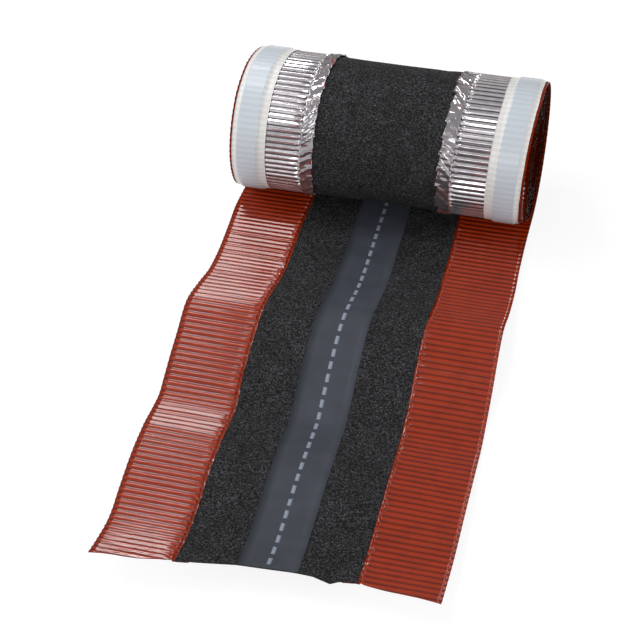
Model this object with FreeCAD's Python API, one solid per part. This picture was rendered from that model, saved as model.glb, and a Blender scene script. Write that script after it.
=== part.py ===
import math
import os

import FreeCAD
import Part

os.makedirs("parts", exist_ok=True)

# A partly unrolled roll of ventilated ridge sheet, in millimetres.
# X runs along the roll's axis, -Y toward the free end of the sheet, +Z up.
# The origin is the middle of the object's footprint, on the floor.
# The sheet is wound with its top side inward: what faces the floor under the free run
# faces outward on the roll.

# Sheet across its width
SHEET_W = 310.0          # over both hemmed foil edges
FLEECE_W = 155.0         # fleece, edge to edge
CRIMP_W = 4.0            # smooth foil between the fleece's edge and the first pleats
MARGIN_LAP = 11.5        # flat foil margin that reaches in under the fleece
LINER_SETBACK = 2.5      # foil edge to liner edge
LINER_W = 36.0
BUTYL_SETBACK = 7.5      # foil edge to adhesive edge
BUTYL_W = 22.0
STRIPE_W = 52.0

# Sheet through its thickness, from the underside up
LINER_T = 0.3
BUTYL_T = 1.6
PLEAT_RISE = 1.8         # height of the pleat's fold line over its valley line
FOIL_T = 0.6             # pleat wall measured through the sheet
MARGIN_LIFT = 0.3        # pleat valleys to the underside of the flat margin
MARGIN_T = 0.6
FLEECE_T = 1.0
STRIPE_T = 0.3

# Wound roll
ROLL_R = 76.5            # over the liner of the outer turn
BORE_R = 34.0
TURNS = 5                # ridges that show on each end
TURN_GROOVE = 2.0        # depth of the groove between two turns
ROOT_AT = 0.6            # where in a ridge's pitch its groove is deepest
END_DISH = 2.5           # inner turns sit this far inside the outer turn's edge
RIM_T = 3.0              # outer turn's flat edge, measured inward from the pleat valleys
ROLL_PLEATS = 74         # pleats round the outer turn; even, so flat layers take every second
NIP_DEG = 22.0           # where the outer layers stop, ahead of the free run

# Free run
PLEAT_PITCH = 6.6
RUN_PLEATS = 84          # even, for the same reason
NIP_PLEATS = 4           # pleats pressed flat where the run leaves the roll
# Slack waves: distance along the sheet from the roll's lowest line, and height off the floor
WAVES = [
    (0.0, 0.0),
    (35.0, 0.0),
    (120.0, 4.5),
    (232.0, 22.5),
    (349.0, 0.0),
    (440.0, 11.0),
    (492.0, 10.5),
    (RUN_PLEATS * PLEAT_PITCH, 22.5),
]
STEPS_PER_PLEAT = 16     # integration steps along the waves

# Levels above the sheet's underside
BUTYL_BOT = LINER_T
PLEAT_LOW = LINER_T + BUTYL_T
PLEAT_TOP = PLEAT_LOW + PLEAT_RISE + FOIL_T
MARGIN_BOT = PLEAT_LOW + MARGIN_LIFT
FLEECE_BOT = MARGIN_BOT + MARGIN_T
FLEECE_TOP = FLEECE_BOT + FLEECE_T
STRIPE_TOP = FLEECE_TOP + STRIPE_T

EDGE_X = SHEET_W / 2.0
FLEECE_X = FLEECE_W / 2.0
PLEAT_IN_X = FLEECE_X + CRIMP_W
MARGIN_IN_X = FLEECE_X - MARGIN_LAP
RUN_LEN = RUN_PLEATS * PLEAT_PITCH


def wave_height(s):
    """Height of the underside at distance s, eased between neighbouring stations."""
    for (s0, z0), (s1, z1) in zip(WAVES, WAVES[1:]):
        if s <= s1:
            t = (s - s0) / (s1 - s0)
            return z0 + (z1 - z0) * (1.0 - math.cos(math.pi * t)) / 2.0
    return WAVES[-1][1]


def walk_run():
    """Underside of the run at every half pleat: (y, z, slope angle)."""
    half = STEPS_PER_PLEAT // 2
    ds = PLEAT_PITCH / STEPS_PER_PLEAT
    rows = []
    y = 0.0
    for i in range(RUN_PLEATS * STEPS_PER_PLEAT + 1):
        s = min(i * ds, RUN_LEN)
        rise = (wave_height(min(s + ds, RUN_LEN)) - wave_height(max(s - ds, 0.0)))
        reach = min(s + ds, RUN_LEN) - max(s - ds, 0.0)
        slope = math.asin(rise / reach)
        if i % half == 0:
            rows.append((y, wave_height(s), slope))
        y -= ds * math.cos(slope)
    return rows


RUN = walk_run()


def run_point(index, level):
    """Point of the run at a half-pleat index, a given level above its underside."""
    y, z, slope = RUN[index]
    return (y + level * math.sin(slope), z + level * math.cos(slope))


def roll_point(index, level):
    """Point round the outer turn at a half-pleat index, counted from the lowest line
    up the back, a given level in from the outside."""
    a = math.pi * index / ROLL_PLEATS
    r = ROLL_R - level
    return (r * math.sin(a), ROLL_R - r * math.cos(a))


def prism(points, x0, x1):
    """Solid between x0 and x1 with the given (y, z) outline."""
    ring = [FreeCAD.Vector(x0, y, z) for y, z in points]
    ring.append(ring[0])
    face = Part.Face(Part.makePolygon(ring))
    return face.extrude(FreeCAD.Vector(x1 - x0, 0, 0))


def roll_stop():
    """Last half-pleat index of a layer that stops ahead of the nip, on a whole coarse step."""
    steps = int((360.0 - NIP_DEG) / 360.0 * ROLL_PLEATS / 2.0)
    return steps * 4


def layer(low, high, x0, x1, low_step, high_step):
    """A flat layer: round the outer turn, then out along the run, as one ribbon.
    A step of 2 bends the face at every pleat, a step of 4 at every second."""
    stop = roll_stop()
    end = 2 * RUN_PLEATS
    outer = [roll_point(i, low) for i in range(stop, 0, -low_step)]
    outer += [run_point(i, low) for i in range(0, end + 1, low_step)]
    inner = [run_point(i, high) for i in range(end, 0, -high_step)]
    inner += [roll_point(i, high) for i in range(0, stop + 1, high_step)]
    return prism(outer + inner, x0, x1)


def coil(points, x0, x1):
    """A wound part: the outline round the outer turn, with the bore through it."""
    body = prism(points, x0, x1)
    start = FreeCAD.Vector(x0 - 1.0, 0, ROLL_R)
    bore = Part.makeCylinder(BORE_R, x1 - x0 + 2.0, start, FreeCAD.Vector(1, 0, 0))
    return body.cut(bore)


def round_outline(level, step):
    return [roll_point(i, level) for i in range(0, 2 * ROLL_PLEATS, step)]


def pleated_outline():
    """Zigzag round the outer turn; the nip's pleats are left pressed flat."""
    nip = int(NIP_DEG / 360.0 * 2 * ROLL_PLEATS) + 1
    points = []
    for i in range(2 * ROLL_PLEATS):
        valley = i % 2 == 1 and nip < 2 * ROLL_PLEATS - i
        points.append(roll_point(i, PLEAT_LOW + (PLEAT_RISE + FOIL_T if valley else 0.0)))
    return points


def turn_cutter():
    """Ring that leaves the turns of one end as ridges, inside the outer turn's flat edge."""
    r_out = ROLL_R - PLEAT_TOP - RIM_T
    pitch = (r_out - BORE_R) / TURNS
    crest = EDGE_X - END_DISH
    root = crest - TURN_GROOVE
    clear = 1.0
    points = [(EDGE_X + clear, BORE_R - clear), (crest, BORE_R - clear)]
    for i in range(TURNS):
        points.append((crest, BORE_R + i * pitch))
        points.append((root, BORE_R + (i + ROOT_AT) * pitch))
    points.append((EDGE_X, r_out))
    points.append((EDGE_X + clear, r_out))
    ring = [FreeCAD.Vector(x, 0, ROLL_R + r) for x, r in points]
    ring.append(ring[0])
    face = Part.Face(Part.makePolygon(ring))
    return face.revolve(FreeCAD.Vector(0, 0, ROLL_R), FreeCAD.Vector(1, 0, 0), 360)


def pleated_run():
    """Zigzag sheet from the roll's lowest line to the free end."""
    end = 2 * RUN_PLEATS
    flat = 2 * NIP_PLEATS
    low = [run_point(0, PLEAT_LOW)]
    top = [run_point(0, PLEAT_TOP)]
    for i in range(flat, end + 1):
        fold = PLEAT_RISE if i % 2 else 0.0
        low.append(run_point(i, PLEAT_LOW + fold))
        top.append(run_point(i, PLEAT_LOW + fold + FOIL_T))
    top[1] = run_point(flat, PLEAT_TOP)
    return prism(low + top[::-1], PLEAT_IN_X, EDGE_X)


def foil_band():
    """Right-hand band: pleated coil and run, with the flat margin under the fleece."""
    pleats = coil(pleated_outline(), PLEAT_IN_X, EDGE_X).cut(turn_cutter())
    neck = coil(round_outline(FLEECE_BOT, 4), FLEECE_X, PLEAT_IN_X)
    margin = layer(MARGIN_BOT, FLEECE_BOT, MARGIN_IN_X, PLEAT_IN_X, 4, 4)
    return pleats.fuse([neck, pleated_run(), margin])


def fleece_band():
    wound = coil(round_outline(FLEECE_BOT, 4), -FLEECE_X, FLEECE_X)
    end = 2 * RUN_PLEATS
    low = [run_point(i, FLEECE_BOT) for i in range(0, end + 1, 4)]
    top = [run_point(i, FLEECE_TOP) for i in range(0, end + 1, 4)]
    return wound.fuse(prism(low + top[::-1], -FLEECE_X, FLEECE_X))


def centre_stripe():
    """Stripe on the fleece, from where the run clears the roll."""
    end = 2 * RUN_PLEATS
    start = 2 * NIP_PLEATS
    low = [run_point(i, FLEECE_TOP) for i in range(start, end + 1, 4)]
    top = [run_point(i, STRIPE_TOP) for i in range(start, end + 1, 4)]
    return prism(low + top[::-1], -STRIPE_W / 2.0, STRIPE_W / 2.0)


def butyl_strip():
    x1 = EDGE_X - BUTYL_SETBACK
    return layer(BUTYL_BOT, PLEAT_LOW, x1 - BUTYL_W, x1, 4, 2)


def release_liner():
    x1 = EDGE_X - LINER_SETBACK
    return layer(0.0, BUTYL_BOT, x1 - LINER_W, x1, 4, 4)


def mirrored(shape):
    return shape.mirror(FreeCAD.Vector(0, 0, 0), FreeCAD.Vector(1, 0, 0))


right_foil = foil_band()
right_butyl = butyl_strip()
right_liner = release_liner()
pieces = {
    "fleece_band": fleece_band(),
    "foil_band_right": right_foil,
    "foil_band_left": mirrored(right_foil),
    "butyl_strip_right": right_butyl,
    "butyl_strip_left": mirrored(right_butyl),
    "release_liner_right": right_liner,
    "release_liner_left": mirrored(right_liner),
    "centre_stripe": centre_stripe(),
}

# The origin goes to the middle of the footprint
y_low = min(shape.BoundBox.YMin for shape in pieces.values())
y_high = max(shape.BoundBox.YMax for shape in pieces.values())
shift = FreeCAD.Vector(0, -(y_low + y_high) / 2.0, 0)

for name, shape in pieces.items():
    shape = shape.removeSplitter()
    shape.translate(shift)
    solids = shape.Solids
    if len(solids) != 1:
        raise ValueError(name + " is not one solid: " + str(len(solids)))
    solids[0].exportStep("parts/" + name + ".step")
    box = solids[0].BoundBox
    print(name, "volume", round(solids[0].Volume), "box",
          [round(v, 2) for v in (box.XMin, box.XMax, box.YMin, box.YMax, box.ZMin, box.ZMax)],
          "faces", len(solids[0].Faces), "valid", solids[0].isValid())
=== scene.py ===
import math

import bpy
import numpy as np
from mathutils import Matrix, Vector


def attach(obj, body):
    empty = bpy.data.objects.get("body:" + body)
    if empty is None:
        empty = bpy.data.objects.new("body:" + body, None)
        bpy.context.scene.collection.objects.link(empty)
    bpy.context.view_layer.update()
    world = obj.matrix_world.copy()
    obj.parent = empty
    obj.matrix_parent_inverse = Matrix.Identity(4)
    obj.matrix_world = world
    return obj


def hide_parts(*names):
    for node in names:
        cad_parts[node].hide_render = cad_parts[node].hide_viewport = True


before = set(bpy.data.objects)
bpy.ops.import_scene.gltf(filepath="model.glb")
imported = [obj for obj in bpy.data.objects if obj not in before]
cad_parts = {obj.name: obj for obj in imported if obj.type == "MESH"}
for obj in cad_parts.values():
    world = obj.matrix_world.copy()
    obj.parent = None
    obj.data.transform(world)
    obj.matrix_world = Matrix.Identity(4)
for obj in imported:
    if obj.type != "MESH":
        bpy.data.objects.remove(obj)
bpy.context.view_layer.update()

bl_info = {
    "name": "Ventilated ridge roll",
    "version": (1, 0, 0),
    "blender": (4, 5, 0),
    "location": "View3D > Sidebar > Ridge roll",
    "description": "Dresses the ridge roll: pleated foil, fleece, stripe, adhesive, liners, stage",
    "category": "Object",
}

MM = 0.001

# The wound roll and the free run, in metres. The run has two pleats more than the CAD
# source's, because the scene's free end is askew.
ROLL_R = 0.0765
AXIS_Y = 0.23551
HALF_W = 0.155
ROLL_PLEATS = 74
RUN_PLEATS = 86
RUN_PITCH = 0.0066
RUN_LEN = RUN_PLEATS * RUN_PITCH
TURN_ANGLE = 2 * math.pi
# The free end is cut a little askew: the pleat it lies at, by distance from the centre line.
# The rows draw back to it from END_FROM on.
END_AT = ((-155, 85.8), (-121, 85.2), (-81, 84.3), (-27, 82.6), (23, 82), (45, 82.1), (55, 82.4),
          (65, 82), (77, 81.7), (117, 82.2), (155, 82.7))
END_FROM = 66

# Turns: the first step clears the run's own thickness, the rest are wound tight
FIRST_STEP = 0.0043
TURN_STEP = 0.00325
TURNS = 12
STEP_FROM = math.radians(292)
OUTER_END = math.radians(428)
OUTER_PLEATS = round(OUTER_END * ROLL_PLEATS / TURN_ANGLE)
# Inner turns: how much narrower they are, and how far each sways along the axis
INNER_DISH = 0.016
TURN_SWAY = 0.0007
SWAY_PHASE = 2.4
# Steps of the edge lines: along the run in metres, round the roll in radians
LINE_STEP = 0.00025
ANGLE_STEP = 0.004

# Levels above the sheet's underside
LINER_SHOWN_TOP = 0.00022
LINER_TOP = 0.0003
BUTYL_TOP = 0.0016
FOIL_MID = 0.00206
FLEECE_BOT = 0.0028
FLEECE_TOP = 0.0038
# The same for the fleece of the inner turns, which is pressed closer to the foil
INNER_BOT = 0.0017
INNER_TOP = 0.0026

# Slack of the free run: distance from the roll's lowest line, height of the underside
LEFT_EDGE = ((0, 0), (35, 0), (75, 2.5), (112, 5.2), (140, 7), (173, 12), (206, 19), (240, 23.5),
             (275, 16.5), (300, 11.5), (329, 4.3), (349, 0), (372, 3.8), (400, 10), (440, 13.4),
             (495, 10.6), (520, 12.8), (544, 18.5), (567.6, 26))
RIGHT_EDGE = ((0, 0), (35, 0), (97, 2.2), (150, 6.5), (181, 13.5), (220, 22.5), (254, 17),
              (290, 8.7), (326, 2), (349, 0), (390, 5), (431, 8.4), (488, 10.6), (515, 13.5),
              (545, 19), (567.6, 25))
# How far the outer turn has slipped along the axis, by angle from the lowest line
SLIP_END = 430
LEFT_SLIP = ((0, 0), (90, 6), (135, 8), (160, 5), (185, 2), (215, 0), (270, -1.5), (315, -2),
             (360, -2), (SLIP_END, 2))
RIGHT_SLIP = ((0, 0), (135, 0), (190, -1), (225, -4), (260, -6), (300, -7.5), (360, -8),
              (SLIP_END, -3))
# How far the run has wandered sideways, by distance: left edge, fleece edges, right edge
RUN_SHIFT = ((0, 0, 0, 0, 0), (60, -2, -1.4, 2, -0.7), (100, 0.3, -0.9, 3.1, -0.4),
             (140, 2.2, 0.6, 3.6, 0.9), (180, 3.2, 1.0, 4, 1.2), (210, 0.6, -0.6, 3.7, 0.6),
             (240, -1.8, -1.9, 3, 1), (280, -0.6, -2.2, 3.8, 2.1), (320, 0.6, -1.1, 5.1, 2.9),
             (360, 2, 1.6, 5.8, 3.5), (400, 3, 2.2, 6.5, 3.7), (440, 4.4, 2.9, 6.8, 3.7),
             (480, 6, 4.2, 6.8, 3.7), (520, 8.4, 5.1, 6.8, 3.2), (567.6, 8.4, 5.1, 6.8, 2.4))
SIDES = ((-1, "left"), (1, "right"))


# Curves and grids

def smooth_curve(stations, at):
    """Monotone cubic through the stations, so a crest never overshoots."""
    xs, ys = (np.array(v, float) for v in zip(*stations))
    h = np.diff(xs)
    slope = np.diff(ys) / h
    tangent = np.zeros(len(xs))
    for i in range(1, len(xs) - 1):
        if slope[i - 1] * slope[i] > 0:
            a, b = 2 * h[i] + h[i - 1], h[i] + 2 * h[i - 1]
            tangent[i] = (a + b) / (a / slope[i - 1] + b / slope[i])
    tangent[-1] = slope[-1]
    i = np.clip(np.searchsorted(xs, at) - 1, 0, len(h) - 1)
    t = (at - xs[i]) / h[i]
    return ((1 + 2 * t) * (1 - t) ** 2 * ys[i] + t * (1 - t) ** 2 * h[i] * tangent[i]
            + t * t * (3 - 2 * t) * ys[i + 1] + t * t * (t - 1) * h[i] * tangent[i + 1])


def eased(t):
    t = np.clip(t, 0, 1)
    return t * t * (3 - 2 * t)


def drop(angle):
    """How far a turn lies inside the outer radius; each turn steps in near the nip."""
    turn = np.floor(angle / TURN_ANGLE)
    step = eased((angle - turn * TURN_ANGLE - STEP_FROM) / (TURN_ANGLE - STEP_FROM))
    first = np.where(turn < 1, FIRST_STEP * step, FIRST_STEP)
    rest = np.where(turn < 1, 0, (turn - 1 + step) * TURN_STEP)
    return first + rest


class Side:
    """One edge line of the sheet: wound part and free run, by the pleat it is at."""

    def __init__(self, stations):
        s = np.arange(0, RUN_LEN + LINE_STEP, LINE_STEP)
        z = smooth_curve([(a * MM, b * MM) for a, b in stations], np.minimum(s, RUN_LEN))
        dz = np.gradient(z, LINE_STEP)
        reach = np.sqrt(1 - dz * dz)
        y = AXIS_Y - np.concatenate([[0], np.cumsum((reach[1:] + reach[:-1]) / 2) * LINE_STEP])
        a = np.arange(TURNS * TURN_ANGLE, 0, -ANGLE_STEP)
        r = ROLL_R - drop(a)
        self.pleat = np.concatenate([-a * ROLL_PLEATS / TURN_ANGLE, s / RUN_PITCH])
        self.y = np.concatenate([AXIS_Y + r * np.sin(a), y])
        self.z = np.concatenate([ROLL_R - r * np.cos(a), z])
        self.up_y = np.concatenate([-np.sin(a), dz])
        self.up_z = np.concatenate([np.cos(a), reach])

    def at(self, pleat):
        return [np.interp(pleat, self.pleat, v) for v in (self.y, self.z, self.up_y, self.up_z)]


LEFT, RIGHT = Side(LEFT_EDGE), Side(RIGHT_EDGE)


def angle_of(pleat):
    return np.maximum(-pleat, 0) * TURN_ANGLE / ROLL_PLEATS


def to_cut_end(pleat, x):
    """Draws the last pleats' rows back to the askew end; the pleats themselves stay straight."""
    short = RUN_PLEATS - np.interp(x, *np.array(END_AT).T * np.array([[MM], [1]]))
    return pleat - short * np.clip((pleat - END_FROM) / (RUN_PLEATS - END_FROM), 0, 1)


def run_shift(pleat, x):
    """Sideways wander of the run, between the four lines it is known on."""
    far, *lines = np.array(RUN_SHIFT).T
    at = np.maximum(pleat, 0) * RUN_PITCH / MM
    left, fleece_left, fleece_right, right = (smooth_curve(list(zip(far, v)), at) for v in lines)
    u = x / HALF_W
    middle = fleece_left + (fleece_right - fleece_left) * (u + 0.5)
    outer_left = fleece_left + (left - fleece_left) * (-2 * u - 1)
    outer_right = fleece_right + (right - fleece_right) * (2 * u - 1)
    return np.where(u < -0.5, outer_left, np.where(u > 0.5, outer_right, middle)) * MM


def sheet_frame(pleat, x):
    """Underside points, up directions and along directions for rows of pleat positions and
    columns of x. Both are arrays that broadcast to one grid."""
    pleat, x = np.broadcast_arrays(np.asarray(pleat, float), np.asarray(x, float))
    t = (x + HALF_W) / (2 * HALF_W)
    yl, zl, uyl, uzl = LEFT.at(pleat)
    yr, zr, uyr, uzr = RIGHT.at(pleat)
    up = np.stack([0 * t, uyl + (uyr - uyl) * t, uzl + (uzr - uzl) * t], -1)
    up /= np.linalg.norm(up, axis=-1, keepdims=True)
    along = np.stack([0 * t, -up[..., 2], up[..., 1]], -1)
    deg = np.degrees(angle_of(pleat))
    slip_l = np.interp(deg, *zip(*LEFT_SLIP)) * MM
    slip_r = np.interp(deg, *zip(*RIGHT_SLIP)) * MM
    shown_x = x + run_shift(pleat, x) + slip_l + (slip_r - slip_l) * t
    turn = np.floor(deg / 360)
    dished = x * (1 - INNER_DISH) + TURN_SWAY * np.sin(turn * SWAY_PHASE)
    shown_x = np.where(deg > SLIP_END, dished, shown_x)
    base = np.stack([shown_x, yl + (yr - yl) * t, zl + (zr - zl) * t], -1)
    return base, up, along


def grid_faces(rows, cols, first=0, flip=False):
    i = np.arange(rows - 1)[:, None] * cols + np.arange(cols - 1) + first
    quads = np.stack([i, i + cols, i + cols + 1, i + 1], -1).reshape(-1, 4)
    return quads[:, ::-1] if flip else quads


def rim_faces(rows, cols, under):
    """Quads that join the top grid to the grid below it, round all four sides."""
    left = np.arange(rows) * cols
    right = left + cols - 1
    near = np.arange(cols)
    far = near + (rows - 1) * cols
    quads = []
    for line, flip in ((left, True), (right, False), (near, False), (far, True)):
        a, b = line[:-1], line[1:]
        q = np.stack([a, a + under, b + under, b], -1)
        quads.append(q[:, ::-1] if flip else q)
    return np.concatenate(quads)


def mesh_object(name, points, faces, vertex_data=(), face_data=(), smooth=True):
    mesh = bpy.data.meshes.new(name)
    faces = np.asarray(faces)
    mesh.vertices.add(len(points))
    mesh.vertices.foreach_set("co", np.asarray(points, np.float32).ravel())
    mesh.loops.add(faces.size)
    mesh.loops.foreach_set("vertex_index", faces.astype(np.int32).ravel())
    mesh.polygons.add(len(faces))
    mesh.polygons.foreach_set("loop_start", np.arange(0, faces.size, faces.shape[1], dtype=np.int32))
    mesh.update(calc_edges=True)
    mesh.polygons.foreach_set("use_smooth", np.full(len(faces), smooth))
    for key, values in vertex_data:
        kind = "FLOAT_VECTOR" if values.ndim == 2 else "FLOAT"
        field = "vector" if values.ndim == 2 else "value"
        mesh.attributes.new(key, kind, "POINT").data.foreach_set(field, values.astype(np.float32).ravel())
    for key, values in face_data:
        mesh.attributes.new(key, "BOOLEAN", "FACE").data.foreach_set("value", values)
    obj = bpy.data.objects.new(name, mesh)
    bpy.context.scene.collection.objects.link(obj)
    return obj


def ribbon(name, pleat, x, low, high, extra=(), bare=None, bare_edge=0):
    """Closed sheet between two levels over a grid of pleat positions and x. It carries the
    directions that the pleat tree folds it with, and marks its bare underside and edge."""
    pleat = np.asarray(pleat, float)
    rows, cols = len(pleat), x.shape[-1]
    x = np.broadcast_to(x, (rows, cols))
    p = to_cut_end(pleat[:, None], x)
    base, up, along = sheet_frame(p, x)
    top = base + up * np.broadcast_to(high, (rows, cols))[..., None]
    bottom = base + up * np.broadcast_to(low, (rows, cols))[..., None]
    count = rows * cols
    points = np.concatenate([top.reshape(-1, 3), bottom.reshape(-1, 3)])
    faces = np.concatenate([grid_faces(rows, cols), grid_faces(rows, cols, count, True),
                            rim_faces(rows, cols, count)])

    def both(v):
        v = np.broadcast_to(v, (rows, cols) + np.shape(v)[2:]).reshape((count,) + np.shape(v)[2:])
        return np.concatenate([v, v])

    data = [("up", both(up)), ("along", both(along)), ("pleat", both(p)), ("across", both(x))]
    data += [(key, both(np.asarray(v, float))) for key, v in extra]
    marks = []
    if bare is not None:
        cells = np.broadcast_to(bare, (rows - 1, cols - 1)).ravel()
        flags = np.zeros(len(faces), bool)
        flags[len(cells):2 * len(cells)] = cells
        rim = 2 * len(cells) + bare_edge * (rows - 1)
        flags[rim:rim + rows - 1] = True
        marks.append(("bare", flags))
    return mesh_object(name, points, faces, data, marks)


# Node trees

def feed(tree, socket, value):
    """Links a number or a socket into an input, or sets a plain value on it."""
    if isinstance(value, Num):
        value = value.socket
    if isinstance(value, bpy.types.NodeSocket):
        tree.links.new(value, socket)
    else:
        socket.default_value = value


def add_node(tree, kind, inputs, **settings):
    """New node with its settings, and its inputs fed by name or by place."""
    node = tree.nodes.new(kind)
    for key, value in settings.items():
        setattr(node, key, value)
    for key, value in inputs.items():
        feed(tree, node.inputs[key], value)
    return node


class Num:
    """Arithmetic on one float socket of a node tree."""

    def __init__(self, tree, socket):
        self.tree, self.socket = tree, socket

    def calc(self, operation, *others):
        inputs = dict(enumerate((self,) + others))
        node = add_node(self.tree, "ShaderNodeMath", inputs, operation=operation)
        return Num(self.tree, node.outputs[0])

    def __add__(self, other):
        return self.calc("ADD", other)

    def __sub__(self, other):
        return self.calc("SUBTRACT", other)

    def __mul__(self, other):
        return self.calc("MULTIPLY", other)

    def __truediv__(self, other):
        return self.calc("DIVIDE", other)

    def times(self, vector):
        """This number times a vector socket."""
        inputs = {0: vector, "Scale": self}
        return add_node(self.tree, "ShaderNodeVectorMath", inputs, operation="SCALE").outputs[0]

    def eased(self, low, high, to_low=0.0, to_high=1.0):
        inputs = dict(enumerate((self, low, high, to_low, to_high)))
        node = add_node(self.tree, "ShaderNodeMapRange", inputs, interpolation_type="SMOOTHSTEP")
        return Num(self.tree, node.outputs[0])


def add_vectors(tree, first, second):
    return add_node(tree, "ShaderNodeVectorMath", {0: first, 1: second}).outputs[0]


def texture(tree, place, scale, detail, roughness=0.5):
    """Noise at a place, as a number."""
    inputs = {"Vector": place, "Scale": scale, "Detail": detail, "Roughness": roughness}
    return Num(tree, add_node(tree, "ShaderNodeTexNoise", inputs).outputs[0])


def geometry_tree(name, inputs):
    """Empty Geometry Nodes tree with named inputs; returns it with its start and end nodes."""
    tree = bpy.data.node_groups.new(name, "GeometryNodeTree")
    tree.interface.new_socket(name="Geometry", in_out="INPUT", socket_type="NodeSocketGeometry")
    for label, kind, default in inputs:
        socket = tree.interface.new_socket(name=label, in_out="INPUT", socket_type="NodeSocket" + kind)
        if default is not None:
            socket.default_value = default
    tree.interface.new_socket(name="Geometry", in_out="OUTPUT", socket_type="NodeSocketGeometry")
    start = tree.nodes.new("NodeGroupInput")
    end = tree.nodes.new("NodeGroupOutput")
    return tree, start, end


def named(tree, name, kind="FLOAT"):
    node = add_node(tree, "GeometryNodeInputNamedAttribute", {"Name": name}, data_type=kind)
    return next(o for o in node.outputs if o.enabled and o.name == "Attribute")


def material_end(tree, geometry, end, slots):
    """Ends the tree: instances made real, then one Set Material for each (socket, selection)."""
    out = add_node(tree, "GeometryNodeRealizeInstances", {0: geometry}).outputs[0]
    for material, selection in slots:
        inputs = {"Geometry": out, "Material": material}
        if selection is not None:
            inputs["Selection"] = selection
        out = add_node(tree, "GeometryNodeSetMaterial", inputs).outputs[0]
    tree.links.new(out, end.inputs[0])


def white_noise(tree, number, seed):
    node = add_node(tree, "ShaderNodeTexWhiteNoise", {"W": number + seed}, noise_dimensions="1D")
    return Num(tree, node.outputs["Value"])


# Pleats: how far they wander, where their ridge lies, how straight their walls are
WANDER = 0.16
PEAK_FROM = 0.45
PEAK_SPREAD = 0.1
STRAIGHT_SHARE = 0.45
# Crumpled margin: its depth, and the noise level that a knot at the crimp starts from
CRUSH = 2.4
KNOT_FROM = 0.42
# Tabs of the margin: per pleat, per metre across, their raggedness, and where they end
TABS_ALONG = 0.5
TABS_ACROSS = 70.0
TABS_RAGGED = 1.6
TABS_END = -6.0


def pleat_tree():
    """Folds a flat foil carrier into pleats, pinches them at the crimp, crumples the margin."""
    tree, start, end = geometry_tree("pleat_fold", (
        ("Fold Height", "Float", 0.0015),
        ("Unevenness", "Float", 0.16),
        ("Crumple", "Float", 0.0007),
        ("Crumple Scale", "Float", 130.0),
        ("Tab Height", "Float", 0.0026),
        ("Knot Height", "Float", 0.0045),
        ("Lean", "Float", 0.0016),
        ("Seed", "Float", 3.0),
        ("Lacquer", "Material", None),
        ("Bare Metal", "Material", None)))
    ins = start.outputs
    pleat = Num(tree, named(tree, "pleat"))
    rise = Num(tree, named(tree, "rise"))
    hook = Num(tree, named(tree, "hook"))
    crumple = Num(tree, named(tree, "crumple"))
    across = Num(tree, named(tree, "across")).calc("ABSOLUTE")
    up, along = named(tree, "up", "FLOAT_VECTOR"), named(tree, "along", "FLOAT_VECTOR")
    seed = Num(tree, ins["Seed"])

    spot = tree.nodes.new("GeometryNodeInputPosition").outputs[0]
    drift = texture(tree, spot, 22.0, 1.0) - 0.5
    place = pleat + drift * rise * WANDER
    index = place.calc("FLOOR")
    local = place - index
    one = white_noise(tree, index, seed)
    two = white_noise(tree, index, seed + 31.7)
    peak = one * PEAK_SPREAD + PEAK_FROM
    rising = local / peak
    falling = (local * -1.0 + 1.0) / (peak * -1.0 + 1.0)
    wall = rising.calc("MINIMUM", falling)
    profile = wall * STRAIGHT_SHARE + wall.eased(0.0, 1.0) * (1.0 - STRAIGHT_SHARE)
    uneven = (two - 0.5) * Num(tree, ins["Unevenness"]) + 1.0
    height = profile * rise * uneven * Num(tree, ins["Fold Height"])

    crease = texture(tree, spot, ins["Crumple Scale"], 3.0, 0.6) - 0.5
    crush = crease * CRUSH * crumple * Num(tree, ins["Crumple"])
    knot = (texture(tree, spot, 420.0, 1.0) - KNOT_FROM) * hook * Num(tree, ins["Knot Height"])
    tabs = pleat * TABS_ALONG + across * TABS_ACROSS + drift * TABS_RAGGED
    tab = tabs.calc("FLOOR")
    bend = ((tabs - tab) * 2.0 - 1.0).calc("ABSOLUTE") * white_noise(tree, tab, seed + 71.3)
    on_roll = pleat.calc("LESS_THAN", TABS_END)
    outward = bend * crumple * on_roll * Num(tree, ins["Tab Height"]) * -1.0
    lift = (height + crush + knot + outward).times(up)
    lean = (profile * hook * (one - 0.25) * Num(tree, ins["Lean"])).times(along)

    # Place on the pleat, -1 in a valley to 1 on a ridge; the foil materials paint shade along the pleats
    # from it
    fold = (profile * 2.0 - 1.0) * rise.calc("MINIMUM", 1.0)
    keep = add_node(tree, "GeometryNodeStoreNamedAttribute",
                    {"Name": "fold", "Geometry": ins["Geometry"]})
    feed(tree, next(s for s in keep.inputs if s.enabled and s.name == "Value"), fold)
    move = add_node(tree, "GeometryNodeSetPosition", {
        "Geometry": keep.outputs[0], "Offset": add_vectors(tree, lift, lean)})
    bare = named(tree, "bare", "BOOLEAN")
    material_end(tree, move.outputs[0], end, ((ins["Lacquer"], None), (ins["Bare Metal"], bare)))
    return tree


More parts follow.
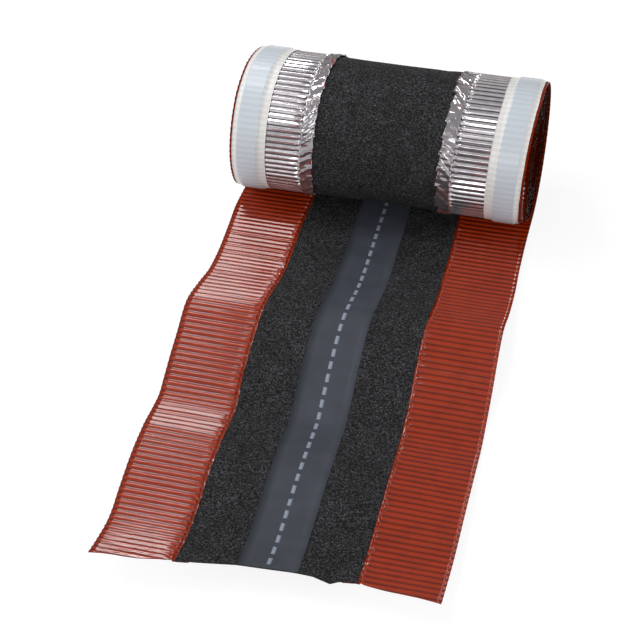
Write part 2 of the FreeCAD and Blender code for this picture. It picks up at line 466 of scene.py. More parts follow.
def dash_tree():
    """Cuts a narrow ribbon into dashes and gives each a closed, thin body."""
    tree, start, end = geometry_tree("dash_line", (
        ("Pitch", "Float", 0.0145),
        ("Dash Length", "Float", 0.009),
        ("Thickness", "Float", 0.00006),
        ("Print", "Material", None)))
    ins = start.outputs
    at = Num(tree, named(tree, "at"))
    pitch = Num(tree, ins["Pitch"])
    local = (at / pitch).calc("FRACT") * pitch
    gap = local.calc("GREATER_THAN", Num(tree, ins["Dash Length"]))
    cut = add_node(tree, "GeometryNodeDeleteGeometry",
                   {"Geometry": ins["Geometry"], "Selection": gap}, domain="FACE").outputs[0]
    grow = add_node(tree, "GeometryNodeExtrudeMesh", {
        "Individual": False, "Mesh": cut, "Offset Scale": ins["Thickness"]})
    under = add_node(tree, "GeometryNodeFlipFaces", {"Mesh": cut})
    join = add_node(tree, "GeometryNodeJoinGeometry", {0: grow.outputs["Mesh"]})
    tree.links.new(under.outputs[0], join.inputs[0])
    weld = add_node(tree, "GeometryNodeMergeByDistance",
                    {"Distance": 0.00001, "Geometry": join.outputs[0]})
    material_end(tree, weld.outputs[0], end, ((ins["Print"], None),))
    return tree


def random_between(tree, low, high, seed):
    node = add_node(tree, "FunctionNodeRandomValue", {"Seed": seed}, data_type="FLOAT")
    ends = [s for s in node.inputs if s.enabled]
    ends[0].default_value = low
    ends[1].default_value = high
    return next(o for o in node.outputs if o.enabled)


def fibre_tree():
    """Scatters short curled fibres over the fleece's shown faces."""
    tree, start, end = geometry_tree("fleece_fibres", (
        ("Density", "Float", 50000.0),
        ("Length", "Float", 0.0055),
        ("Radius", "Float", 0.00005),
        ("Seed", "Int", 5),
        ("Fibre", "Material", None)))
    ins = start.outputs
    scatter = add_node(tree, "GeometryNodeDistributePointsOnFaces", {
        "Mesh": ins["Geometry"], "Density": ins["Density"], "Seed": ins["Seed"],
        "Selection": named(tree, "shown", "BOOLEAN")})

    # One fibre of unit length, which the inputs bring to size
    arc = add_node(tree, "GeometryNodeCurvePrimitiveBezierSegment", {
        "Resolution": 2, "Start": (-0.5, 0.0, 0.0), "Start Handle": (-0.2, 0.18, 0.012),
        "End Handle": (0.2, -0.14, 0.018), "End": (0.5, 0.06, 0.0)})
    size = add_node(tree, "ShaderNodeCombineXYZ", dict.fromkeys(range(3), ins["Length"]))
    sized = add_node(tree, "GeometryNodeTransform", {
        "Geometry": arc.outputs[0], "Scale": size.outputs[0]})
    ring = add_node(tree, "GeometryNodeCurvePrimitiveCircle", {
        "Resolution": 3, "Radius": ins["Radius"]})
    tube = add_node(tree, "GeometryNodeCurveToMesh", {
        "Fill Caps": True, "Curve": sized.outputs[0], "Profile Curve": ring.outputs["Curve"]})

    # Each lies flat on its face, at any angle
    turn = add_node(tree, "ShaderNodeCombineXYZ", {2: random_between(tree, 0.0, TURN_ANGLE, 0)})
    spin = add_node(tree, "FunctionNodeEulerToRotation", {0: turn.outputs[0]})
    rotate = add_node(tree, "FunctionNodeRotateRotation", {
        0: scatter.outputs["Rotation"], 1: spin.outputs[0]}, rotation_space="LOCAL")
    fibres = add_node(tree, "GeometryNodeInstanceOnPoints", {
        "Points": scatter.outputs["Points"], "Instance": tube.outputs[0],
        "Rotation": rotate.outputs[0], "Scale": random_between(tree, 0.5, 1.3, 9)})
    material_end(tree, fibres.outputs[0], end, ((ins["Fibre"], None),))
    return tree


def grown(obj, tree, values):
    """Runs a tree on the object with the given inputs and keeps the result as a plain mesh."""
    modifier = obj.modifiers.new(tree.name, "NODES")
    modifier.node_group = tree
    ids = {s.name: s.identifier for s in tree.interface.items_tree if s.in_out == "INPUT"}
    for label, value in values.items():
        modifier[ids[label]] = value
    graph = bpy.context.evaluated_depsgraph_get()
    made = bpy.data.meshes.new_from_object(obj.evaluated_get(graph))
    old = obj.data
    obj.modifiers.clear()
    obj.data = made
    made.name = obj.name
    bpy.data.meshes.remove(old)


# Materials

def surface(name, colour, roughness, metallic=0.0, specular=0.5, alpha=1.0):
    """Material with a Principled shader; returns it with its tree and shader."""
    material = bpy.data.materials.new(name)
    material.use_nodes = True
    tree = material.node_tree
    shader = tree.nodes["Principled BSDF"]
    values = {"Base Color": (*colour, 1), "Roughness": roughness, "Metallic": metallic,
              "Specular IOR Level": specular, "Alpha": alpha}
    for key, value in values.items():
        shader.inputs[key].default_value = value
    return material, tree, shader


def noise(tree, scale, detail=3.0, stretch=None):
    """Noise on the piece's own coordinates."""
    source = tree.nodes.new("ShaderNodeTexCoord").outputs["Object"]
    if stretch:
        mapping = add_node(tree, "ShaderNodeMapping", {"Scale": stretch, "Vector": source})
        source = mapping.outputs[0]
    return texture(tree, source, scale, detail)


def mixed(tree, factor, first, second):
    """Colour between two, each a socket or a plain colour with its alpha."""
    inputs = {0: factor, 6: first, 7: second}
    return add_node(tree, "ShaderNodeMix", inputs, data_type="RGBA").outputs[2]


def tinted(tree, shader, factor, dark, light):
    """Base colour that runs from dark to light with the factor."""
    tree.links.new(mixed(tree, factor, (*dark, 1), (*light, 1)), shader.inputs["Base Color"])


def bumped(tree, shader, height, distance):
    bump = add_node(tree, "ShaderNodeBump", {"Distance": distance, "Strength": 1.0, "Height": height})
    tree.links.new(bump.outputs[0], shader.inputs["Normal"])


def own_number(tree, name):
    node = add_node(tree, "ShaderNodeAttribute", {}, attribute_name=name)
    return Num(tree, node.outputs["Fac"])


def shades(colour, *factors):
    return [[c * factor for c in colour] for factor in factors]


def lacquer_material(colour):
    """Glossy red lacquer, with painted shade along the valleys of the pleats and on the inner turns."""
    material, tree, shader = surface("lacquer", colour, 0.08, specular=0.5)
    cloud = noise(tree, 60.0, 4.0).eased(0.3, 0.7, 0.88, 1.08)
    # Painted shade: darker in the pleats' valleys and on the inner turns inside the roll
    painted_valley_shade = own_number(tree, "fold").eased(-1.0, 0.0, 0.4, 1.0)
    painted_turn_shade = own_number(tree, "pleat").eased(-100.0, -86.0, 0.3, 1.0)
    tinted(tree, shader, cloud * painted_valley_shade * painted_turn_shade, (0, 0, 0), colour)
    bumped(tree, shader, noise(tree, 500.0, 1.0), 0.00002)
    return material


def metal_material(colour):
    """Bare aluminium with painted shade and dark painted reflections in lines across its pleats, darkest
    in its hollows, which seen from below are the pleats' ridges. Darker at the crumpled margin.
    """
    material, tree, shader = surface("bare_aluminium", colour, 0.11, metallic=0.8)
    cloud = noise(tree, 140.0, 4.0).eased(0.3, 0.7, 0.8, 1.0)
    fold = own_number(tree, "fold")
    # Painted shade and dark painted reflections in lines across the pleats, darkest in the hollows
    painted_pleat_shade = fold.eased(0.3, 0.9, 1.0, 0.08) * fold.eased(-0.75, -0.45, 0.75, 1.0)
    margin = own_number(tree, "crumple").eased(0.2, 0.9, 1.0, 0.55)
    tinted(tree, shader, cloud * painted_pleat_shade * margin, (0.02, 0.012, 0.02), colour)
    bumped(tree, shader, noise(tree, 500.0, 2.0), 0.00002)
    return material


def fleece_material(colour):
    """Black nonwoven: two directions of strands, lighter than the ground."""
    material, tree, shader = surface("fleece", colour, 0.85, specular=0.2)
    strands = noise(tree, 1100.0, 4.0, (1.0, 0.35, 1.0))
    crossed = noise(tree, 1100.0, 4.0, (0.35, 1.0, 1.0))
    weave = strands.calc("MAXIMUM", crossed)
    cloud = noise(tree, 45.0, 3.0).eased(0.3, 0.7, 0.8, 1.2)
    tinted(tree, shader, weave.eased(0.48, 0.78) * cloud, *shades(colour, 0.3, 9.0))
    bumped(tree, shader, weave, 0.0005)
    return material


def fibre_material(colour):
    material, tree, shader = surface("fleece_fibre", colour, 0.6, specular=0.3)
    tinted(tree, shader, noise(tree, 300.0).eased(0.42, 0.62), *shades(colour, 0.25, 1.0))
    return material


def stripe_material(colour):
    material, tree, shader = surface("stripe", colour, 0.55, specular=0.2)
    tinted(tree, shader, noise(tree, 35.0, 3.0).eased(0.3, 0.7), *shades(colour, 0.9, 1.1))
    bumped(tree, shader, noise(tree, 1200.0, 2.0), 0.00004)
    return material


def butyl_material(colour):
    material, tree, shader = surface("butyl", colour, 0.55)
    bumped(tree, shader, noise(tree, 400.0), 0.0001)
    return material


# Where the adhesive shows through the liner, from its inner to its outer edge
LANE_IN = (0.1250, 0.1258)
LANE_OUT = (0.1470, 0.1478)
LANE_COLOUR = (0.67, 0.73, 0.79, 1)
# Colour toward which the liner is mixed for painted shade of the pleats beneath and for darker specks
LINER_SHADE_AND_SPECKS = (0.36, 0.38, 0.42, 1)


def liner_material(colour):
    """Film over the foil: blue-grey where the adhesive lies behind it, faint painted shade of the pleats
    beside it, and darker specks.
    """
    material, tree, shader = surface("liner_film", colour, 0.27, specular=0.4, alpha=0.92)
    out = own_number(tree, "across").calc("ABSOLUTE")
    wave = (own_number(tree, "pleat") * TURN_ANGLE).calc("SINE")
    ragged = out + wave * 0.0004 + (noise(tree, 260.0, 2.0) - 0.5) * 0.001
    lane = ragged.eased(*LANE_IN) * ragged.eased(*LANE_OUT, 1.0, 0.0)
    film = mixed(tree, lane, (*colour, 1), LANE_COLOUR)
    speck = noise(tree, 900.0, 4.0).eased(0.4, 0.75)
    # Painted shade of the pleats beneath, in faint lines one pleat apart, and darker specks
    shown = mixed(tree, (wave * 0.5 + 0.5) * 0.18 + speck * 0.14, film, LINER_SHADE_AND_SPECKS)
    tree.links.new(shown, shader.inputs["Base Color"])
    bumped(tree, shader, wave * 0.3 + noise(tree, 300.0, 2.0, (0.3, 1.0, 1.0)), 0.00014)
    return material


# Pieces

def pleat_rows(first, last, per_pleat):
    return np.linspace(first, last, int(round((last - first) * per_pleat)) + 1)


# Foil across its width: distance from the centre line in millimetres, and how strong it is there
FOIL_COLUMNS = (66.0, 67.2, 68.6, 70.5, 72.5, 74.5, 76.5, 78.0, 79.2, 79.9, 80.6, 81.2, 82.0,
                83.2, 86.0, 91.0, 100.0, 110.0, 122.0, 134.0, 144.0, 149.5, 151.5, 151.9, 155.0)
RISE_ACROSS = ((66.0, 0.25), (78.0, 0.2), (79.6, 0.1), (80.4, 1.1), (81.2, 1.7), (82.4, 1.25),
               (86.0, 1.0), (155.0, 1.0))
HOOK_ACROSS = ((79.4, 0.0), (80.6, 1.0), (82.0, 0.8), (84.5, 0.0))
CRUMPLE_ACROSS = ((66.0, 1.0), (78.0, 0.9), (81.0, 0.25), (84.0, 0.0))
TURNS_COLUMNS = (136.0, 146.0, 151.4, 155.0)
BORE_COLUMNS = (66.0, 78.0, 81.0, 84.0, 100.0, 125.0, 151.4, 155.0)
TURNS_LEVEL = 0.0011
# Hemmed edge: where it starts, its extra thickness, and where the lacquer comes round it
HEM_FROM = 151.7
HEM_T = 0.00018
LACQUER_FROM = 151.6
# Red flecks on the bare margin: rows in each, the draw that makes one, how far out they reach
FLECK_ROWS = 7
FLECK_DRAW = 0.985
FLECK_TO = 72
# Ragged inner margin, in millimetres, on which each tab has a sawtooth edge
KNOTS = 400
MARGIN_TO = 78.0
MARGIN_W = 12.0
TABS_PER_PLEAT = 0.37
SAW_DEPTH = 2.6
TOOTH_DEPTH = 1.2
RAGGED_DEPTH = 0.6
SAW_SHARE = {-1: 0.5, 1: 1.0}
# Pleats that the roll presses down at the nip, and by how much
NIP_FROM = -4
NIP_TO = 3.0
NIP_EASE = 2.0
NIP_PRESS = 0.8


def foil_outer(sign, side, thickness):
    """Outer turn and free run of one band, from the ragged margin to the hemmed edge."""
    pleat = pleat_rows(-OUTER_PLEATS, RUN_PLEATS, 10)
    u = np.array(FOIL_COLUMNS)
    rise = np.interp(u, *zip(*RISE_ACROSS))
    hook = np.interp(u, *zip(*HOOK_ACROSS), left=0, right=0)
    crumple = np.interp(u, *zip(*CRUMPLE_ACROSS), right=0)
    rng = np.random.default_rng(11 if sign < 0 else 12)
    teeth = rng.uniform(-1, 1, KNOTS)
    at = pleat - pleat[0]
    tab = at * TABS_PER_PLEAT + 0.3 * teeth[0]
    saw = (tab % 1) * SAW_DEPTH - SAW_DEPTH / 2 + teeth[tab.astype(int)] * TOOTH_DEPTH
    ragged = np.interp(at * 1.7, np.arange(KNOTS), teeth) * RAGGED_DEPTH + saw * SAW_SHARE[sign]
    inward = np.clip((MARGIN_TO - u) / MARGIN_W, 0, 1)
    grid = (u[None, :] + ragged[:, None] * inward) * MM * sign
    near_nip = eased((pleat - NIP_FROM) / NIP_EASE) * (1 - eased((pleat - NIP_TO) / NIP_EASE))
    pressed = (1 - NIP_PRESS * near_nip)[:, None]
    hem = np.where(u > HEM_FROM, HEM_T, 0.0)
    low = np.full(len(u), FOIL_MID - thickness / 2)
    high = FOIL_MID + thickness / 2 + hem
    draws = rng.uniform(0, 1, (len(pleat) - 1, len(u) - 1))
    blocks = np.repeat(draws[::FLECK_ROWS], FLECK_ROWS, axis=0)[:len(pleat) - 1]
    flecks = (blocks > FLECK_DRAW) & (u[:-1] < FLECK_TO)
    bare = (u[:-1] < LACQUER_FROM) & ~flecks
    if sign < 0:
        grid, rise, hook, crumple = grid[:, ::-1], rise[::-1], hook[::-1], crumple[::-1]
        low, high, bare = low[::-1], high[::-1], bare[:, ::-1]
    extra = (("rise", rise * pressed), ("hook", hook), ("crumple", crumple))
    return ribbon("foil_" + side, pleat, grid, low, high, extra, bare, int(sign < 0))


def foil_turns(sign, side, thickness):
    """Inner turns of one band: edges of all of them, and the innermost in full width."""
    last = TURNS * ROLL_PLEATS
    inmost = last - ROLL_PLEATS
    made = []
    for name, first, end, columns in (("foil_turns_", -inmost, -OUTER_PLEATS, TURNS_COLUMNS),
                                      ("foil_bore_", 1 - last, 1 - inmost, BORE_COLUMNS)):
        pleat = pleat_rows(first, end, 6)
        u = np.array(columns)
        rise = np.where(u < 79, 0.2, np.where(u < 82, 0.1, 0.8))
        bare = u[:-1] < 151
        if sign < 0:
            u, rise, bare = u[::-1], rise[::-1], bare[::-1]
        extra = (("rise", rise), ("hook", 0.0), ("crumple", 0.0))
        made.append(ribbon(name + side, pleat, u * MM * sign, TURNS_LEVEL, TURNS_LEVEL + thickness,
                           extra, bare, int(sign < 0)))
    return made


# Fleece on the roll: depth and half width of its hollow, and one slanting crease
SAG = 0.0009
SAG_HALF_W = 0.07
CREASE_X = 0.030
CREASE_SLANT = 0.00028
CREASE_RISE = 0.0007
CREASE_W = 0.007
# Fleece on the run: its undulation, and the ripple at the free end
WAVE_RISE = 0.00016
RIPPLE_DEPTH = 0.0032
RIPPLE_X = 0.052
RIPPLE_W = 0.0065
RIPPLE_FROM = 78
FRAY = 0.0004
# Half of the fleece's columns, in millimetres from the centre line
FLEECE_COLUMNS = (0, 9, 18, 26, 33, 40, 47, 55, 62, 68, 73, 76.5, 77.5)


def fleece_sag(pleat, x):
    """Slight hollow of the fleece between the bands on the roll, with one soft crease."""
    deg = np.degrees(angle_of(pleat))
    on_roll = eased((deg - 60) / 60) * (1 - eased((deg - 330) / 40))
    bowl = SAG * (1 - np.clip(np.abs(x) / SAG_HALF_W, 0, 1) ** 2)
    slant = x - CREASE_X + (deg - 200) * CREASE_SLANT
    crease = CREASE_RISE * np.exp(-(slant / CREASE_W) ** 2)
    return (bowl + crease) * on_roll


def fleece_wave(pleat, x):
    """Faint undulation of the fleece on the run, and one small ripple at the free end."""
    bulge = np.exp(-((x - RIPPLE_X) / RIPPLE_W) ** 2)
    ripple = RIPPLE_DEPTH * bulge * eased((pleat - RIPPLE_FROM) / 5)
    return WAVE_RISE * np.sin(pleat * 1.9 + x * 40) * np.sin(x * 63 + pleat * 0.21) - ripple


def fleece_sheet():
    """The whole sheet: one row a pleat on the inner turns, two on the outer turn and the run."""
    pleat = np.concatenate([pleat_rows(-TURNS * ROLL_PLEATS + 2, -92, 1),
                            pleat_rows(-91.5, RUN_PLEATS, 2)])
    half = np.array(FLEECE_COLUMNS)
    x = np.concatenate([-half[:0:-1], half]) * MM
    rng = np.random.default_rng(5)
    fray = rng.uniform(-1, 1, len(pleat)) * FRAY
    grid = np.tile(x, (len(pleat), 1))
    grid[:, 0] += fray
    grid[:, -1] += fray[::-1]
    p = pleat[:, None]
    lift = fleece_sag(p, grid) + fleece_wave(p, grid)
    inner = angle_of(p) > OUTER_END
    low = np.where(inner, INNER_BOT, FLEECE_BOT + lift)
    high = np.where(inner, INNER_TOP, FLEECE_TOP + lift)
    return ribbon("fleece", pleat, grid, low, high)


# The liner lies on the adhesive and sinks to the pleats beside it, in millimetres
LINER_DRAPE = ((116.5, 1.5), (123.4, 1.45), (125.4, 0), (147.6, 0), (149.4, 1.3), (152.5, 1.45))
# The strips' first pleat and the pleats they stop short of the end; the dents between pleats
STRIP_FROM = -84
STRIP_SHORT = 0.75
PLEAT_DENT = 0.00012


def edge_strip(name, sign, inner, outer, low, high, columns, waver, seed):
    """Adhesive or liner: a ribbon on the underside, round the outer turn and along the run."""
    pleat = pleat_rows(STRIP_FROM, RUN_PLEATS - STRIP_SHORT, 4)
    u = np.linspace(inner, outer, columns)
    rng = np.random.default_rng(seed)
    knots = rng.uniform(-1, 1, (2, KNOTS))
    at = pleat - pleat[0]
    wobble = [np.interp(at, np.arange(KNOTS), k) * waver for k in knots]
    share = (u - inner) / (outer - inner)
    grid = (u + wobble[0][:, None] * (1 - share) + wobble[1][:, None] * share) * MM * sign
    if sign < 0:
        grid = grid[:, ::-1]
    dip = PLEAT_DENT * (1 - np.abs(np.sin(np.pi * pleat)))[:, None] * (high > LINER_TOP)
    drape = np.interp(np.abs(grid) / MM, *zip(*LINER_DRAPE)) * (high < LINER_TOP) * MM
    return ribbon(name, pleat, grid, low + drape, high + drape - dip)


def dress(obj, node):
    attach(obj, "root")
    if node:
        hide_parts(node)


def edge_strips(piece, node, slot, material, *sizes, seed):
    """The strip on both sides, with its material, its node and its slot."""
    for sign, side in SIDES:
        obj = edge_strip(piece + side, sign, *sizes, seed + sign)
        obj.data.materials.append(material)
        dress(obj, node + side)


def length_property(name, description, default):
    return bpy.props.FloatProperty(
        name=name, description=description, default=default, unit="LENGTH")


def colour_property(name, description, default):
    return bpy.props.FloatVectorProperty(
        name=name, description=description, default=default, subtype="COLOR")


class RidgeRollSizes(bpy.types.PropertyGroup):
    fold_height: length_property("Fold height", "Height of a foil pleat", 0.0015)
    foil_thickness: length_property("Foil thickness", "Shown thickness of the foil", 0.0003)
    dash_pitch: length_property("Dash pitch", "Distance between two dashes", 0.0145)
    dash_length: length_property("Dash length", "Length of one dash", 0.009)
    dash_width: length_property("Dash width", "Width of one dash", 0.0036)
    fibre_density: bpy.props.FloatProperty(
        name="Fibre density", description="Loose fibres per square metre of fleece", default=50000.0)
    fibre_length: length_property("Fibre length", "Length of a loose fibre", 0.0055)


class RidgeRollColours(bpy.types.PropertyGroup):
    lacquer: colour_property("Lacquer", "Lacquered side of the foil", (0.35, 0.026, 0.001))
    metal: colour_property("Bare metal", "Underside of the foil", (0.70, 0.665, 0.69))
    fleece: colour_property("Fleece", "Fleece ground", (0.0128, 0.0128, 0.014))
    fibre: colour_property("Fibre", "Loose fibres", (0.20, 0.19, 0.17))
    stripe: colour_property("Stripe", "Centre stripe", (0.052, 0.057, 0.074))
    dashes: colour_property("Dashes", "Printed dashes", (0.26, 0.30, 0.37))
    butyl: colour_property("Adhesive", "Adhesive strips", (0.22, 0.29, 0.38))
    liner: colour_property("Liner", "Release liner film", (0.91, 0.895, 0.865))


class RIDGEROLL_OT_foil(bpy.types.Operator):
    """Pleated foil bands with their lacquered tops, bare undersides and wound turns"""
    bl_idname = "ridge_roll.foil"
    bl_label = "Foil bands"

    def execute(self, context):
        sizes, colours = context.scene.ridge_roll_sizes, context.scene.ridge_roll_colours
        tree = pleat_tree()
        lacquer, metal = lacquer_material(colours.lacquer), metal_material(colours.metal)
        for sign, side in SIDES:
            outer = foil_outer(sign, side, sizes.foil_thickness)
            for i, obj in enumerate([outer] + foil_turns(sign, side, sizes.foil_thickness)):
                grown(obj, tree, {"Fold Height": sizes.fold_height, "Seed": 3.0 + 40 * sign + i,
                                  "Lacquer": lacquer, "Bare Metal": metal})
                dress(obj, "foil_band_" + side if i == 0 else None)
        return {"FINISHED"}


class RIDGEROLL_OT_fleece(bpy.types.Operator):
    """Black fleece, wound and along the run, with loose fibres on its shown faces"""
    bl_idname = "ridge_roll.fleece"
    bl_label = "Fleece"

    def execute(self, context):
        sizes, colours = context.scene.ridge_roll_sizes, context.scene.ridge_roll_colours
        fleece = fleece_sheet()
        ground = fleece.copy()
        ground.data = fleece.data.copy()
        ground.name = "fleece_fibres"
        context.scene.collection.objects.link(ground)
        fleece.data.materials.append(fleece_material(colours.fleece))
        dress(fleece, "fleece_band")

        mark_shown(ground.data)
        grown(ground, fibre_tree(), {"Density": sizes.fibre_density, "Length": sizes.fibre_length,
                                     "Fibre": fibre_material(colours.fibre)})
        dress(ground, None)
        return {"FINISHED"}


# Fibres lie on faces turned this much outward or up, down to a turn's depth inside the roll,
# and on the run only clear of the roll
TURNED = 0.5
ROLL_SKIN = 0.0062
NIP_CLEAR_Y = 0.03
NIP_CLEAR_R = 0.002


def mark_shown(mesh):
    """Marks the fleece's faces that can be seen: top of the run, outside of the roll."""
    count = len(mesh.polygons)
    normal = np.zeros(count * 3)
    centre = np.zeros(count * 3)
    mesh.polygons.foreach_get("normal", normal)
    mesh.polygons.foreach_get("center", centre)
    normal, centre = normal.reshape(-1, 3), centre.reshape(-1, 3)
    away = centre - (0, AXIS_Y, ROLL_R)
    away[:, 0] = 0
    far = np.linalg.norm(away, axis=1)
    outward = (normal * away).sum(1) / far > TURNED
    on_roll = outward & (far > ROLL_R - ROLL_SKIN)
    off_roll = (centre[:, 1] < AXIS_Y - NIP_CLEAR_Y) & (far > ROLL_R - NIP_CLEAR_R)
    on_run = (normal[:, 2] > TURNED) & off_roll
    mesh.attributes.new("shown", "BOOLEAN", "FACE").data.foreach_set("value", on_roll | on_run)


# Centre stripe and dashes: columns in millimetres, and levels from the fleece's top
STRIPE_COLUMNS = (-26, -18, -9, 0, 9, 18, 26)
STRIPE_BOT = FLEECE_TOP - 0.0001
STRIPE_TOP = FLEECE_TOP + 0.00014
DASH_LEVEL = FLEECE_TOP + 0.00024
# The dashes are counted from this many pleats before the roll's lowest line
DASHES_FROM = 10


class RIDGEROLL_OT_stripe(bpy.types.Operator):
    """Grey centre stripe on the fleece, with a plain dashed centre line"""
    bl_idname = "ridge_roll.stripe"
    bl_label = "Centre stripe"

    def execute(self, context):
        sizes, colours = context.scene.ridge_roll_sizes, context.scene.ridge_roll_colours
        pleat = pleat_rows(-6, RUN_PLEATS, 4)
        grid = np.broadcast_to(np.array(STRIPE_COLUMNS) * MM, (len(pleat), len(STRIPE_COLUMNS)))
        lift = fleece_wave(pleat[:, None], grid)
        stripe = ribbon("stripe", pleat, grid, STRIPE_BOT + lift, STRIPE_TOP + lift)
        stripe.data.materials.append(stripe_material(colours.stripe))
        dress(stripe, "centre_stripe")

        half = sizes.dash_width / 2
        x = np.array([-half, 0, half])
        pleat = to_cut_end(pleat_rows(-4, RUN_PLEATS - 0.2, 12)[:, None], x)
        base, up, _ = sheet_frame(pleat, x)
        level = DASH_LEVEL + fleece_wave(pleat, x)
        points = (base + up * level[..., None]).reshape(-1, 3)
        at = ((pleat + DASHES_FROM) * RUN_PITCH).ravel()
        dashes = mesh_object("stripe_dashes", points, grid_faces(len(pleat), 3), [("at", at)])
        ink = surface("stripe_print", colours.dashes, 0.5, specular=0.4)[0]
        grown(dashes, dash_tree(), {"Pitch": sizes.dash_pitch, "Dash Length": sizes.dash_length,
                                    "Print": ink})
        dress(dashes, None)
        return {"FINISHED"}


class RIDGEROLL_OT_adhesive(bpy.types.Operator):
    """Adhesive strips on the underside, near both foil edges"""
    bl_idname = "ridge_roll.adhesive"
    bl_label = "Adhesive strips"

    def execute(self, context):
        material = butyl_material(context.scene.ridge_roll_colours.butyl)
        edge_strips("adhesive_", "butyl_strip_", "butyl", material,
                    125.5, 147.5, LINER_TOP, BUTYL_TOP, 5, 0.25, seed=20)
        return {"FINISHED"}


class RIDGEROLL_OT_liners(bpy.types.Operator):
    """Translucent release liners over the adhesive strips"""
    bl_idname = "ridge_roll.liners"
    bl_label = "Release liners"

    def execute(self, context):
        material = liner_material(context.scene.ridge_roll_colours.liner)
        edge_strips("liner_", "release_liner_", "liner", material,
                    116.5, 152.5, 0.0, LINER_SHOWN_TOP, 28, 0.15, seed=40)
        return {"FINISHED"}


# Lamps: name, place, aim, size across and along, power
LAMPS = (("strip_left", (-0.49, 0.30, 1.4), (-0.49, 0.1, 0.0), 0.26, 0.42, 3.2),
         ("strip_back", (-0.62, 1.0, 1.4), (-0.62, -0.1, 0.0), 0.24, 0.3, 3.8),
         ("softbox_left", (-1.5, 0.1, 1.15), (0.0, 0.1, 0.0), 0.9, 0.9, 7.0),
         ("softbox_front", (-0.1, -1.8, 1.0), (-0.1, 0.05, 0.03), 0.8, 0.6, 6.0))


class RIDGEROLL_OT_stage(bpy.types.Operator):
    """White floor, world, lamps and the camera"""
    bl_idname = "ridge_roll.stage"
    bl_label = "Stage"

    def execute(self, context):
        scene = context.scene
        floor = mesh_object("floor", [(-6, -6, 0), (6, -6, 0), (6, 6, 0), (-6, 6, 0)], [(0, 1, 2, 3)],
                            smooth=False)
        floor.data.materials.append(floor_material())
        scene.world = white_world()
        for name, spot, aim, wide, high, power in LAMPS:
            light = bpy.data.lights.new(name, "AREA")
            light.shape = "RECTANGLE"
            light.size, light.size_y, light.energy = wide, high, power
            lamp = bpy.data.objects.new(name, light)
            lamp.location = spot
            lamp.rotation_euler = (Vector(aim) - Vector(spot)).to_track_quat("-Z", "Y").to_euler()
            scene.collection.objects.link(lamp)
        scene.camera = photo_camera()
        scene.view_settings.view_transform = "Standard"
        return {"FINISHED"}


def seen_directly(tree):
    """1 for camera, glossy and transmission rays, 0 for light that falls on the object."""
    path = tree.nodes.new("ShaderNodeLightPath")
    seen = Num(tree, path.outputs["Is Camera Ray"]) + Num(tree, path.outputs["Is Glossy Ray"])
    return (seen + Num(tree, path.outputs["Is Transmission Ray"])).calc("MINIMUM", 1.0)


def white_world():
    """White light from overhead and from the front, fainter toward the back and sides."""
    world = bpy.data.worlds.new("white_world")
    world.use_nodes = True
    tree = world.node_tree
    back = tree.nodes["Background"]
    back.inputs["Color"].default_value = (1, 1, 1, 1)
    coords = tree.nodes.new("ShaderNodeTexCoord").outputs["Generated"]
    parts = add_node(tree, "ShaderNodeSeparateXYZ", {0: coords})
    overhead = Num(tree, parts.outputs["Z"]).eased(0.0, 0.8, 0.22, 0.55)
    front = Num(tree, parts.outputs["Y"]).eased(-0.95, -0.5, 0.7, 0.0)
    tree.links.new((overhead + front).socket, back.inputs["Strength"])
    return world


def floor_material():
    """Plain white under the object; where it is seen, a glow that keeps faint shadows."""
    material = bpy.data.materials.new("floor_white")
    material.use_nodes = True
    tree = material.node_tree
    tree.nodes.remove(tree.nodes["Principled BSDF"])
    plain, faint = (add_node(tree, "ShaderNodeBsdfDiffuse", {"Color": (grey, grey, grey, 1)})
                    for grey in (0.8, 0.2))
    glow = add_node(tree, "ShaderNodeEmission", {"Strength": 0.86})
    both = add_node(tree, "ShaderNodeAddShader", {0: faint.outputs[0], 1: glow.outputs[0]})
    mix = add_node(tree, "ShaderNodeMixShader", {
        0: seen_directly(tree), 1: plain.outputs[0], 2: both.outputs[0]})
    tree.links.new(mix.outputs[0], tree.nodes["Material Output"].inputs["Surface"])
    return material


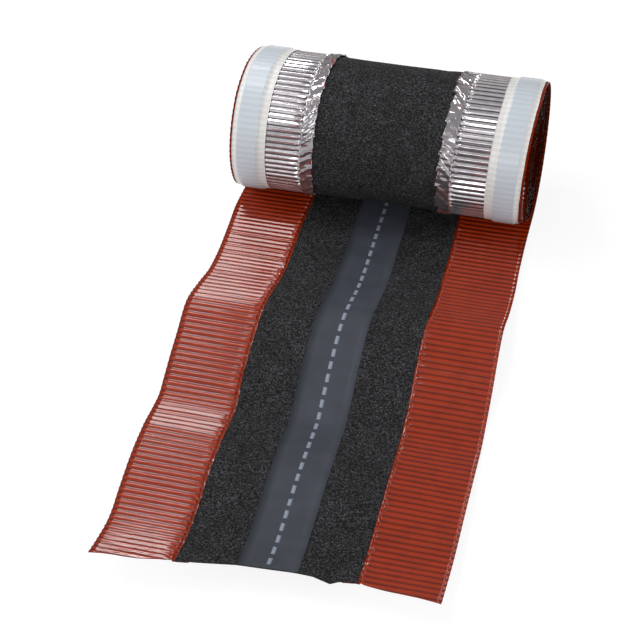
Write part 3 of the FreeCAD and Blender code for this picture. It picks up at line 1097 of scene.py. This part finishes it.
def photo_camera():
    """Camera at the photograph's angle: 15 degrees round, 44 degrees up, slightly rolled."""
    data = bpy.data.cameras.new("camera")
    data.lens = 95.2
    data.sensor_width = 36.0
    data.clip_start = 0.05
    camera = bpy.data.objects.new("camera", data)
    az, el, roll = math.radians(15.2), math.radians(44.4), math.radians(-1.9)
    forward = Vector((-math.sin(az) * math.cos(el), math.cos(az) * math.cos(el), -math.sin(el)))
    right = Vector((math.cos(az), math.sin(az), 0))
    up = right.cross(forward)
    r2 = right * math.cos(roll) + up * math.sin(roll)
    u2 = up * math.cos(roll) - right * math.sin(roll)
    place = Vector((0.2881, -1.13905, 1.1811))
    camera.matrix_world = Matrix.Translation(place) @ Matrix((r2, u2, -forward)).transposed().to_4x4()
    bpy.context.scene.collection.objects.link(camera)
    return camera


class RIDGEROLL_PT_panel(bpy.types.Panel):
    """Sizes, colours and build steps of the ridge roll"""
    bl_idname = "RIDGEROLL_PT_panel"
    bl_label = "Ridge roll"
    bl_space_type = "VIEW_3D"
    bl_region_type = "UI"
    bl_category = "Ridge roll"

    def draw(self, context):
        layout = self.layout
        for group in (context.scene.ridge_roll_sizes, context.scene.ridge_roll_colours):
            box = layout.box()
            for key in group.__annotations__:
                box.prop(group, key)
        for step in STEPS:
            layout.operator(step.bl_idname)


STEPS = (RIDGEROLL_OT_foil, RIDGEROLL_OT_fleece, RIDGEROLL_OT_stripe, RIDGEROLL_OT_adhesive,
         RIDGEROLL_OT_liners, RIDGEROLL_OT_stage)
CLASSES = (RidgeRollSizes, RidgeRollColours) + STEPS + (RIDGEROLL_PT_panel,)


def register():
    for kind in CLASSES:
        bpy.utils.register_class(kind)
    bpy.types.Scene.ridge_roll_sizes = bpy.props.PointerProperty(type=RidgeRollSizes)
    bpy.types.Scene.ridge_roll_colours = bpy.props.PointerProperty(type=RidgeRollColours)


def unregister():
    del bpy.types.Scene.ridge_roll_sizes
    del bpy.types.Scene.ridge_roll_colours
    for kind in reversed(CLASSES):
        bpy.utils.unregister_class(kind)


def main():
    register()
    bpy.ops.ridge_roll.foil()
    bpy.ops.ridge_roll.fleece()
    bpy.ops.ridge_roll.stripe()
    bpy.ops.ridge_roll.adhesive()
    bpy.ops.ridge_roll.liners()
    bpy.ops.ridge_roll.stage()
    length = float(sum(ROLL_R - drop(a) for a in np.arange(0, (TURNS - 0.03) * TURN_ANGLE, 0.01)) * 0.01)


if __name__ == "__main__":
    main()
